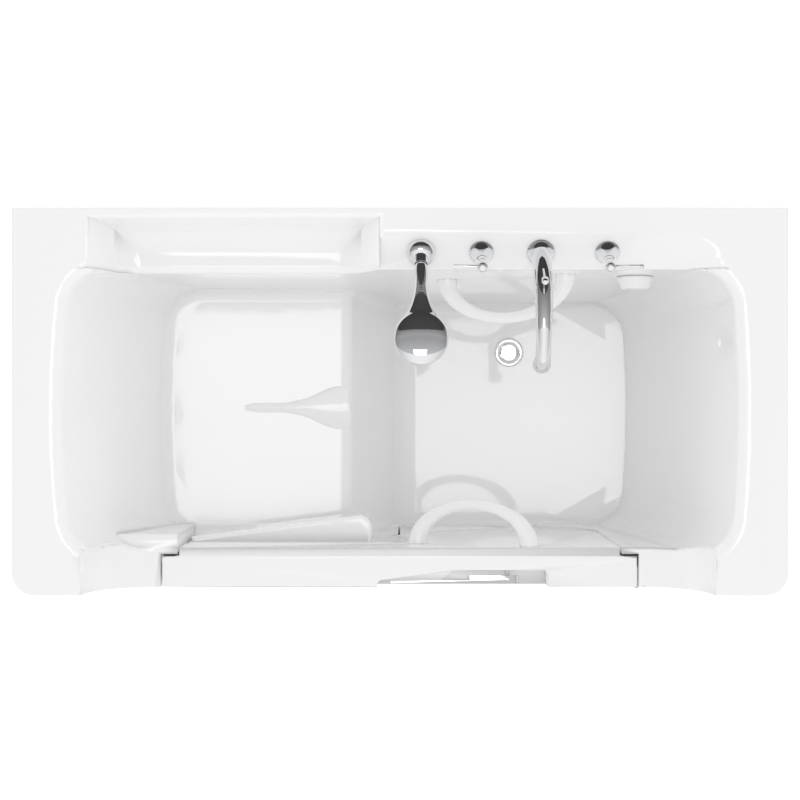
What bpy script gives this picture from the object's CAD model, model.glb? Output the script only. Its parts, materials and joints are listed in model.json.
import bmesh
import bpy
import json
import math
from mathutils import Matrix, Vector


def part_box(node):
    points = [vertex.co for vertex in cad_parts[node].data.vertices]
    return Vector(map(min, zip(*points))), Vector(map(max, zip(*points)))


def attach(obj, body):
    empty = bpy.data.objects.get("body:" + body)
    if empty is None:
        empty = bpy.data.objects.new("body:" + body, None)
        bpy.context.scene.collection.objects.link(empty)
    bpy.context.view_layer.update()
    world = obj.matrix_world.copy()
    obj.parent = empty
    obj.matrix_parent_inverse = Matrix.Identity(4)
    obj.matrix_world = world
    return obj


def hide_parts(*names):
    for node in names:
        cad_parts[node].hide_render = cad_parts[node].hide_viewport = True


# Lengths in metres, in the CAD's frame: +X to the foot end, +Y to the wall, +Z up

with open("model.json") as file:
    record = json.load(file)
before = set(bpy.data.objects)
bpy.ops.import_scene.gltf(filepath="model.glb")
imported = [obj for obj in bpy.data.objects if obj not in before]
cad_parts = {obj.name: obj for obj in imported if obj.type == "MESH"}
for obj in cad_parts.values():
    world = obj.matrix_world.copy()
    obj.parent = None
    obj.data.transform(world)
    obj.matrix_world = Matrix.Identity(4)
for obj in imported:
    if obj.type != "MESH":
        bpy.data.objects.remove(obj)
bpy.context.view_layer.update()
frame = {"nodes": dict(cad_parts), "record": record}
NODES = frame["nodes"]
BODIES = frame["record"]["behaviour"]["bodies"]
BODY_OF = {node: body for body, members in BODIES.items() for node in members}
SLOT_OF = {row["node"]: row["material_slot"] for row in frame["record"]["subparts"]}

# White walls light one another, so light may pass between them many times
WALL_BOUNCES = 10

scene = bpy.context.scene
scene.view_settings.view_transform = "Standard"
scene.cycles.diffuse_bounces = WALL_BOUNCES

# Camera straight above the tub, image up towards the wall

CAMERA_HEIGHT, CAMERA_BACK = 4.616, 0.003
LENS_MM, SENSOR_MM = 82.7, 36

camera_data = bpy.data.cameras.new("camera")
camera_data.lens = LENS_MM
camera_data.sensor_width = SENSOR_MM
camera = bpy.data.objects.new("camera", camera_data)
camera.location = (0, CAMERA_BACK, CAMERA_HEIGHT)
scene.collection.objects.link(camera)
scene.camera = camera


# Finishes

MOTTLE_DETAIL, GRAIN_DETAIL, GRAIN_STRENGTH = 3, 2, 0.3


def link(tree, source, target):
    tree.links.new(source, target)


def grey(tone):
    return (tone, tone, tone)


def opaque(colour):
    return (*colour, 1)


def surface_group():
    """Soft mottle of colour and gloss, with a fine grain for the bump."""
    group = bpy.data.node_groups.new("surface_variation", "ShaderNodeTree")
    for name, kind in (("Vector", "NodeSocketVector"), ("Colour", "NodeSocketColor"),
                       ("Mottle", "NodeSocketColor"), ("Mottle scale", "NodeSocketFloat"),
                       ("Smooth", "NodeSocketFloat"), ("Rough", "NodeSocketFloat"),
                       ("Grain scale", "NodeSocketFloat")):
        group.interface.new_socket(name=name, in_out="INPUT", socket_type=kind)
    for name, kind in (("Colour", "NodeSocketColor"), ("Roughness", "NodeSocketFloat"),
                       ("Grain", "NodeSocketFloat")):
        group.interface.new_socket(name=name, in_out="OUTPUT", socket_type=kind)
    nodes = group.nodes
    inside, outside = nodes.new("NodeGroupInput"), nodes.new("NodeGroupOutput")
    mottle, grain = nodes.new("ShaderNodeTexNoise"), nodes.new("ShaderNodeTexNoise")
    mottle.inputs["Detail"].default_value = MOTTLE_DETAIL
    grain.inputs["Detail"].default_value = GRAIN_DETAIL
    tint, gloss = nodes.new("ShaderNodeMix"), nodes.new("ShaderNodeMapRange")
    tint.data_type = "RGBA"
    link(group, inside.outputs["Vector"], mottle.inputs["Vector"])
    link(group, inside.outputs["Vector"], grain.inputs["Vector"])
    link(group, inside.outputs["Mottle scale"], mottle.inputs["Scale"])
    link(group, inside.outputs["Grain scale"], grain.inputs["Scale"])
    link(group, mottle.outputs["Fac"], tint.inputs["Factor"])
    link(group, inside.outputs["Colour"], tint.inputs["A"])
    link(group, inside.outputs["Mottle"], tint.inputs["B"])
    link(group, mottle.outputs["Fac"], gloss.inputs["Value"])
    link(group, inside.outputs["Smooth"], gloss.inputs["To Min"])
    link(group, inside.outputs["Rough"], gloss.inputs["To Max"])
    link(group, tint.outputs["Result"], outside.inputs["Colour"])
    link(group, gloss.outputs["Result"], outside.inputs["Roughness"])
    link(group, grain.outputs["Fac"], outside.inputs["Grain"])
    return group


VARIATION = surface_group()


def finish(name, colour, mottle, mottle_scale, gloss, grain, stretch=(1, 1, 1), **sockets):
    """Material between two colours and two roughnesses, with a grain of a scale and a depth."""
    material = bpy.data.materials.new(name)
    material.use_nodes = True
    tree = material.node_tree
    shader = tree.nodes["Principled BSDF"]
    place, mapping = tree.nodes.new("ShaderNodeTexCoord"), tree.nodes.new("ShaderNodeMapping")
    mapping.inputs["Scale"].default_value = stretch
    vary, bump = tree.nodes.new("ShaderNodeGroup"), tree.nodes.new("ShaderNodeBump")
    vary.node_tree = VARIATION
    smooth, rough = gloss
    grain_scale, grain_depth = grain
    for socket, value in (("Colour", opaque(colour)), ("Mottle", opaque(mottle)),
                          ("Mottle scale", mottle_scale), ("Smooth", smooth), ("Rough", rough),
                          ("Grain scale", grain_scale)):
        vary.inputs[socket].default_value = value
    bump.inputs["Strength"].default_value = GRAIN_STRENGTH
    bump.inputs["Distance"].default_value = grain_depth
    link(tree, place.outputs["Object"], mapping.inputs["Vector"])
    link(tree, mapping.outputs["Vector"], vary.inputs["Vector"])
    link(tree, vary.outputs["Colour"], shader.inputs["Base Color"])
    link(tree, vary.outputs["Roughness"], shader.inputs["Roughness"])
    link(tree, vary.outputs["Grain"], bump.inputs["Height"])
    link(tree, bump.outputs["Normal"], shader.inputs["Normal"])
    for socket, value in sockets.items():
        shader.inputs[socket.replace("_", " ")].default_value = value
    return material


FINISHES = {
    "acrylic": finish("white_acrylic", colour=(0.975, 0.975, 0.973), mottle=grey(0.982),
                      mottle_scale=3, gloss=(0.02, 0.05), grain=(40, 0.0002), IOR=1.5),
    "panel": finish("panel_acrylic", colour=(0.925, 0.925, 0.923), mottle=grey(0.94),
                    mottle_scale=3, gloss=(0.1, 0.16), grain=(60, 0.0003), IOR=1.5),
    "bar": finish("bar_enamel", colour=grey(0.95), mottle=grey(0.96),
                  mottle_scale=12, gloss=(0.1, 0.16), grain=(120, 0.0002), IOR=1.5),
    "frame_steel": finish("frame_paint", colour=(0.34, 0.35, 0.37), mottle=(0.4, 0.41, 0.42),
                          mottle_scale=9, gloss=(0.4, 0.55), grain=(260, 0.0005)),
    "steel": finish("brushed_steel", colour=(0.6, 0.6, 0.62), mottle=(0.7, 0.7, 0.71),
                    mottle_scale=20, gloss=(0.22, 0.36), grain=(160, 0.0002),
                    stretch=(1, 1, 8), Metallic=1.0),
    "chrome": finish("chrome_plate", colour=(0.82, 0.83, 0.85), mottle=(0.87, 0.87, 0.88),
                     mottle_scale=16, gloss=(0.03, 0.06), grain=(90, 0.00004), Metallic=1.0),
    "brass": finish("cast_brass", colour=(0.55, 0.4, 0.17), mottle=(0.66, 0.5, 0.25),
                    mottle_scale=22, gloss=(0.28, 0.42), grain=(320, 0.0005), Metallic=1.0),
    "grey_plastic": finish("grey_nozzle_plastic", colour=(0.5, 0.5, 0.52),
                           mottle=(0.57, 0.57, 0.58), mottle_scale=30, gloss=(0.35, 0.45),
                           grain=(300, 0.0003)),
    "waste_plastic": finish("waste_pvc", colour=(0.78, 0.78, 0.75), mottle=(0.83, 0.83, 0.81),
                            mottle_scale=14, gloss=(0.3, 0.4), grain=(180, 0.0003)),
    "rubber": finish("black_rubber", colour=(0.02, 0.02, 0.021), mottle=(0.035, 0.035, 0.036),
                     mottle_scale=40, gloss=(0.55, 0.7), grain=(400, 0.0006)),
}


# CAD pieces with their facets smoothed

SMOOTH_ANGLE = math.radians(32)
WELD = 1e-6

HEAD_LEAN = math.tan(math.radians(10))
HEAD_RADIUS, NECK_LENGTH = 0.053, 0.07

SKIN_STEP, FLOW_SHARE, FLOW_ROUNDS = 0.0014, 0.5, 30

# The rim's front corners are round, so its front edge counts as far in as their depth
RIM_EDGE, RIM_STEPS, RIM_TOUCH, FRONT_DEPTH = 0.004, 3, 1e-4, 0.053


def lean_head(form):
    """Tips the shower head up at its far edge; the lean fades out along the neck."""
    low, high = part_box("spray_face")
    middle = (low.y + high.y) / 2
    for vert in form.verts:
        beyond = middle - vert.co.y
        fade = min(max(1 - (-beyond - HEAD_RADIUS) / NECK_LENGTH, 0), 1)
        vert.co.z += HEAD_LEAN * max(beyond, -HEAD_RADIUS) * fade * fade * (3 - 2 * fade)


def melt_seams(piece):
    """Runs grip and head into one another."""
    skin = piece.modifiers.new("one_skin", "REMESH")
    skin.mode = "VOXEL"
    skin.voxel_size = SKIN_STEP
    skin.use_smooth_shade = True
    flow = piece.modifiers.new("flow", "SMOOTH")
    flow.factor = FLOW_SHARE
    flow.iterations = FLOW_ROUNDS


def soften_rim(form):
    """Small round along the rim's outer upper edge."""
    low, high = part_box("tub_shell")

    def outer(vert):
        at = vert.co
        at_end = min(at.x - low.x, high.x - at.x) < RIM_TOUCH
        at_side = high.y - at.y < RIM_TOUCH or at.y - low.y < FRONT_DEPTH
        return high.z - at.z < RIM_TOUCH and (at_end or at_side)

    edges = [edge for edge in form.edges if len(edge.link_faces) == 2
             and edge.calc_face_angle() > SMOOTH_ANGLE and all(outer(vert) for vert in edge.verts)]
    bmesh.ops.bevel(form, geom=edges, offset=RIM_EDGE, segments=RIM_STEPS, profile=0.5,
                    affect="EDGES", material=-1)


def smoothed(node):
    """A welded copy of a CAD piece: round faces shade as round, real edges stay sharp."""
    form = bmesh.new()
    form.from_mesh(NODES[node].data)
    bmesh.ops.remove_doubles(form, verts=form.verts, dist=WELD)
    if BODY_OF[node] == "handset":
        lean_head(form)
    if node == "tub_shell":
        soften_rim(form)
    mesh = bpy.data.meshes.new(node + "_skin")
    form.to_mesh(mesh)
    form.free()
    mesh.shade_smooth()
    mesh.set_sharp_from_angle(angle=SMOOTH_ANGLE)
    piece = bpy.data.objects.new(node + "_skin", mesh)
    scene.collection.objects.link(piece)
    if node == "hand_shower":
        melt_seams(piece)
    even = piece.modifiers.new("even_normals", "WEIGHTED_NORMAL")
    even.keep_sharp = True
    mesh.materials.clear()
    mesh.materials.append(FINISHES[SLOT_OF[node]])
    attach(piece, BODY_OF[node])
    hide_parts(node)


for node in NODES:
    smoothed(node)


# Fine detail

NOZZLE_RINGS = ((0.007, 6), (0.015, 12), (0.024, 18), (0.033, 24), (0.0395, 30))
NOZZLE_FOOT, NOZZLE_TIP, NOZZLE_LENGTH, NOZZLE_SINK = 0.0019, 0.0012, 0.0028, 0.0006
NOZZLE_SIDES = 10

DECK_TILT = math.radians(29.7)
BLADE_WIDTH, BLADE_THICK, BLADE_ROUND, BLADE_STEPS = 0.0085, 0.0062, 0.0018, 4
BLADE_START, BLADE_NARROW = 0.008, 0.72


def detail(form, name, body, slot):
    """Closes a modelled form and hangs it on its body with its finish."""
    bmesh.ops.remove_doubles(form, verts=form.verts, dist=WELD)
    bmesh.ops.recalc_face_normals(form, faces=form.faces)
    mesh = bpy.data.meshes.new(name)
    form.to_mesh(mesh)
    form.free()
    mesh.shade_smooth()
    mesh.set_sharp_from_angle(angle=SMOOTH_ANGLE)
    mesh.materials.append(FINISHES[slot])
    piece = bpy.data.objects.new(name, mesh)
    scene.collection.objects.link(piece)
    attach(piece, body)


def spray_nozzles():
    """Rings of soft nipples that stand out of the spray face."""
    low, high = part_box("spray_face")
    middle = (low + high) / 2
    form = bmesh.new()
    for ring, count in NOZZLE_RINGS:
        for step in range(count):
            turn = math.tau * step / count
            spot = Vector((middle.x + ring * math.cos(turn), middle.y + ring * math.sin(turn),
                           low.z + NOZZLE_SINK - NOZZLE_LENGTH / 2))
            bmesh.ops.create_cone(form, cap_ends=True, segments=NOZZLE_SIDES, radius1=NOZZLE_TIP,
                                  radius2=NOZZLE_FOOT, depth=NOZZLE_LENGTH,
                                  matrix=Matrix.Translation(spot))
    lean_head(form)
    detail(form, "spray_nozzles", "handset", "rubber")


def lever_blade(node, cover, body, side):
    """Slim rounded blade round a tap's lever arm, wider towards its free end."""
    low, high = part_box(node)
    cover_low, cover_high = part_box(cover)
    end = high.x if side > 0 else low.x
    tip = [vert.co for vert in NODES[node].data.vertices if abs(vert.co.x - end) < BLADE_ROUND]
    centre = sum(tip, Vector()) / len(tip)
    start = (cover_low.x + cover_high.x) / 2 + side * BLADE_START
    form = bmesh.new()
    bmesh.ops.create_cube(form, size=1)
    bmesh.ops.scale(form, vec=(abs(end - start), BLADE_WIDTH, BLADE_THICK), verts=form.verts)
    hub_end = [vert for vert in form.verts if vert.co.x * side < 0]
    bmesh.ops.scale(form, vec=(1, BLADE_NARROW, BLADE_NARROW), verts=hub_end)
    bmesh.ops.bevel(form, geom=form.edges, offset=BLADE_ROUND, segments=BLADE_STEPS, profile=0.5,
                    affect="EDGES", material=-1)
    middle = Matrix.Translation(((start + end) / 2, centre.y, centre.z))
    bmesh.ops.transform(form, matrix=middle @ Matrix.Rotation(DECK_TILT, 4, "X"), verts=form.verts)
    detail(form, node + "_blade", body, "chrome")


spray_nozzles()
lever_blade("hot_handle", "hot_escutcheon", "hot_handle_body", -1)
lever_blade("cold_handle", "cold_escutcheon", "cold_handle_body", 1)


# Stage: pale floor, soft sky with a dark side for the metal, one big softbox above

FLOOR_HALF, FLOOR_TONE, FLOOR_ROUGH = 12, 0.85, 0.9
FLOOR_GLOW = 0.55  # seen by the camera alone, so that the floor fades into white

# What metal sees from the front (0) to the wall (1), dimmer towards the tub's two ends
SKY_FRONT, SKY_WALL, END_DIMMING = 1.0, 0.05, 0.45
SKY_TONES = ((0.42, 1.0), (0.44, 0.62), (0.78, 0.28), (0.79, 0.07))

# What lights the rest: bright at the horizon, dim overhead
HORIZON_LEVEL, OVERHEAD_DIMMING, SEEN_LEVEL = 1.19, 0.85, 1.0

SOFTBOX_SIZE, SOFTBOX_PLACE, SOFTBOX_WATTS = (2.01, 1.13), (-0.145, -0.088, 6.5), 24.0
TOPLIGHT_STRENGTH, TOPLIGHT_SPREAD = 0.3, math.radians(40)


def calculate(tree, operation, *feeds):
    """Math node fed by other nodes' outputs or by plain numbers."""
    node = tree.nodes.new("ShaderNodeMath")
    node.operation = operation
    for socket, feed in zip(node.inputs, feeds):
        if isinstance(feed, bpy.types.NodeSocket):
            link(tree, feed, socket)
        else:
            socket.default_value = feed
    return node.outputs["Value"]


def pale_floor():
    form = bmesh.new()
    bmesh.ops.create_grid(form, x_segments=1, y_segments=1, size=FLOOR_HALF)
    mesh = bpy.data.meshes.new("floor")
    form.to_mesh(mesh)
    form.free()
    paint = bpy.data.materials.new("pale_floor")
    paint.use_nodes = True
    tree = paint.node_tree
    shader = tree.nodes["Principled BSDF"]
    shader.inputs["Base Color"].default_value = opaque(grey(FLOOR_TONE))
    shader.inputs["Roughness"].default_value = FLOOR_ROUGH
    shader.inputs["Emission Color"].default_value = opaque(grey(1))
    sight = tree.nodes.new("ShaderNodeLightPath")
    glow = calculate(tree, "MULTIPLY", sight.outputs["Is Camera Ray"], FLOOR_GLOW)
    link(tree, glow, shader.inputs["Emission Strength"])
    mesh.materials.append(paint)
    floor = bpy.data.objects.new("floor", mesh)
    scene.collection.objects.link(floor)


def metal_sky(sky, along, across):
    """Colour that glossy rays find: steps of grey from front to wall."""
    toward = sky.nodes.new("ShaderNodeMapRange")
    toward.inputs["From Min"].default_value = -1
    link(sky, across, toward.inputs["Value"])
    tones = sky.nodes.new("ShaderNodeValToRGB")
    steps = tones.color_ramp.elements
    for place, tone in SKY_TONES:
        steps.new(place).color = opaque(grey(tone))
    steps[0].color = opaque(grey(SKY_FRONT))
    steps[-1].color = opaque(grey(SKY_WALL))
    link(sky, toward.outputs["Result"], tones.inputs["Fac"])
    square = calculate(sky, "MULTIPLY", along, along)
    toned = sky.nodes.new("ShaderNodeVectorMath")
    toned.operation = "SCALE"
    link(sky, tones.outputs["Color"], toned.inputs["Vector"])
    link(sky, calculate(sky, "MULTIPLY_ADD", square, -END_DIMMING, 1), toned.inputs["Scale"])
    return toned.outputs["Vector"]


def studio_sky():
    world = bpy.data.worlds.new("studio")
    scene.world = world
    world.use_nodes = True
    sky = world.node_tree
    backdrop = sky.nodes["Background"]
    ray, where = sky.nodes.new("ShaderNodeLightPath"), sky.nodes.new("ShaderNodeTexCoord")
    apart = sky.nodes.new("ShaderNodeSeparateXYZ")
    link(sky, where.outputs["Generated"], apart.inputs["Vector"])
    along, across, upward = (apart.outputs[axis] for axis in "XYZ")

    glossy = sky.nodes.new("ShaderNodeMix")
    glossy.data_type = "RGBA"
    glossy.inputs["A"].default_value = opaque(grey(1))
    link(sky, metal_sky(sky, along, across), glossy.inputs["B"])
    link(sky, ray.outputs["Is Glossy Ray"], glossy.inputs["Factor"])
    link(sky, glossy.outputs["Result"], backdrop.inputs["Color"])

    square = calculate(sky, "MULTIPLY", upward, upward)
    lighting = calculate(sky, "MULTIPLY_ADD", square, -OVERHEAD_DIMMING, HORIZON_LEVEL)
    seen = calculate(sky, "MAXIMUM", ray.outputs["Is Camera Ray"], ray.outputs["Is Glossy Ray"])
    level = sky.nodes.new("ShaderNodeMix")
    level.inputs["B"].default_value = SEEN_LEVEL
    link(sky, lighting, level.inputs["A"])
    link(sky, seen, level.inputs["Factor"])
    link(sky, level.outputs["Result"], backdrop.inputs["Strength"])


def lamps():
    softbox_data = bpy.data.lights.new("softbox", "AREA")
    softbox_data.shape = "RECTANGLE"
    softbox_data.size, softbox_data.size_y = SOFTBOX_SIZE
    softbox_data.energy = SOFTBOX_WATTS
    softbox = bpy.data.objects.new("softbox", softbox_data)
    softbox.location = SOFTBOX_PLACE
    scene.collection.objects.link(softbox)

    toplight_data = bpy.data.lights.new("toplight", "SUN")
    toplight_data.energy = TOPLIGHT_STRENGTH
    toplight_data.angle = TOPLIGHT_SPREAD
    toplight = bpy.data.objects.new("toplight", toplight_data)
    toplight.visible_glossy = False
    scene.collection.objects.link(toplight)


pale_floor()
studio_sky()
lamps()
